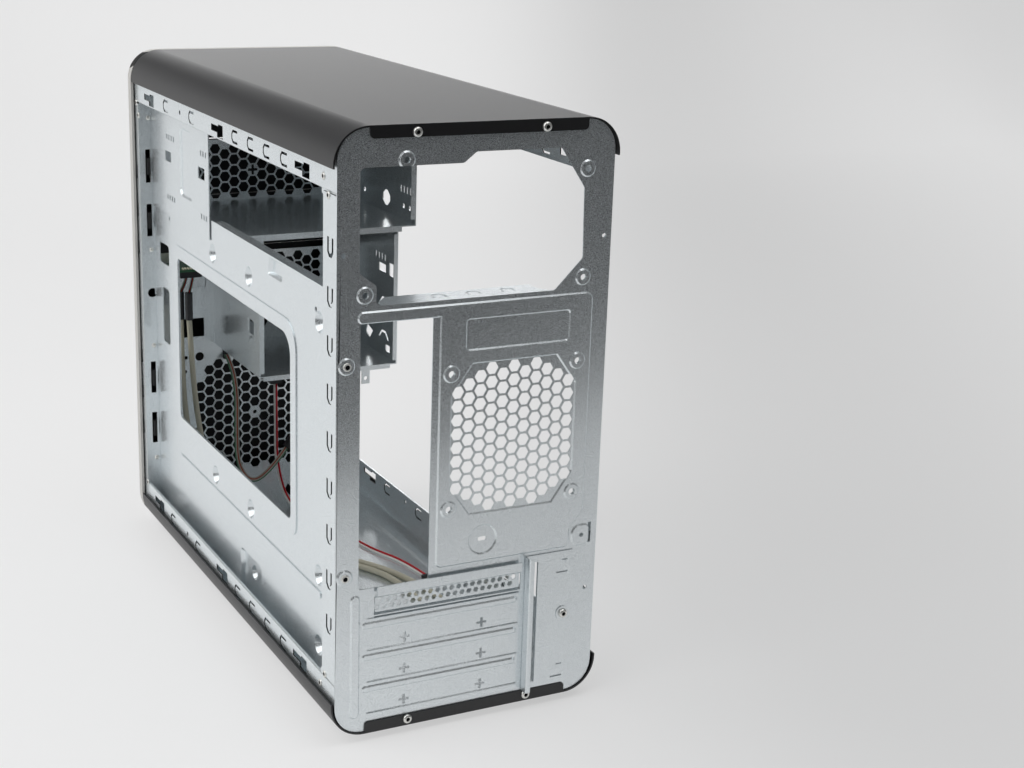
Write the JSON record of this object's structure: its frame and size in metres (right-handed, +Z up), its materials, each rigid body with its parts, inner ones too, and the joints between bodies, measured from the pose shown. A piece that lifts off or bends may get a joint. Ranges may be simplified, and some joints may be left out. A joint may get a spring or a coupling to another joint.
{
  "type": "computer_case",
  "caption": "Slim upright computer case without its side panels: zinc steel frame with honeycomb vents, dark painted top and bottom covers, drive bays and front bezel",
  "frame": {"origin": "under the middle of the case's outline, on the plane the feet stand on", "axes": "+Z up; -Y towards the front bezel, so the rear panel faces +Y; +X towards the side that carries the mainboard tray"},
  "size_m": [0.178, 0.4106, 0.3657],
  "materials": {
    "zinc_steel": "satin",
    "cover_paint": "satin",
    "black_screw": "satin",
    "bezel_plastic": "satin",
    "button_plastic": "satin",
    "black_plastic": "matte",
    "light_lens": "gloss",
    "green_board": "satin",
    "socket_shell": "satin",
    "foot_rubber": "matte",
    "black_sleeve": "matte",
    "cable_jacket": "matte",
    "wire_red": "satin",
    "wire_grey": "satin"
  },
  "bodies": {
    "case": {"rear_panel": "zinc_steel", "vented_slot_cover": "zinc_steel", "card_retainer": "zinc_steel", "retainer_screw": "zinc_steel", "lower_pan": "zinc_steel", "upper_pan": "zinc_steel", "front_panel": "zinc_steel", "mainboard_tray": "zinc_steel", "optical_bay": "zinc_steel", "drive_cage": "zinc_steel", "socket_plate": "zinc_steel", "cover_screws": "black_screw", "top_cover": "cover_paint", "bottom_cover": "cover_paint", "front_bezel": "bezel_plastic", "lower_bay_cover": "bezel_plastic", "upper_bay_cover": "bezel_plastic", "small_bay_cover": "bezel_plastic", "power_switch": "black_plastic", "power_light": "light_lens", "port_board": "green_board", "usb_socket_1": "socket_shell", "usb_socket_2": "socket_shell", "audio_socket_1": "black_plastic", "audio_socket_2": "black_plastic", "socket_plug": "black_plastic", "usb_sleeve": "black_sleeve", "audio_sleeve": "black_sleeve", "usb_cable": "cable_jacket", "audio_cable": "cable_jacket", "usb_wires": "wire_red", "audio_wires": "wire_red", "usb_plug": "black_plastic", "audio_plug": "black_plastic", "lead_clip": "black_plastic", "switch_lead": "wire_red", "switch_lead_plug": "black_plastic", "ribbon_grommet": "black_plastic", "ribbon_lead": "wire_grey", "ribbon_plug": "black_plastic", "rear_left_foot": "foot_rubber", "rear_right_foot": "foot_rubber", "front_left_foot": "foot_rubber", "front_right_foot": "foot_rubber"},
    "button": {"power_button": "button_plastic"}
  },
  "joints": [
    {"name": "power_press", "type": "slide", "parent": "case", "child": "button", "axis": [0, 1, 0], "range_m": [0, 0.0015], "stiffness_N_per_m": 600, "springref_m": -0.0008}
  ]
}
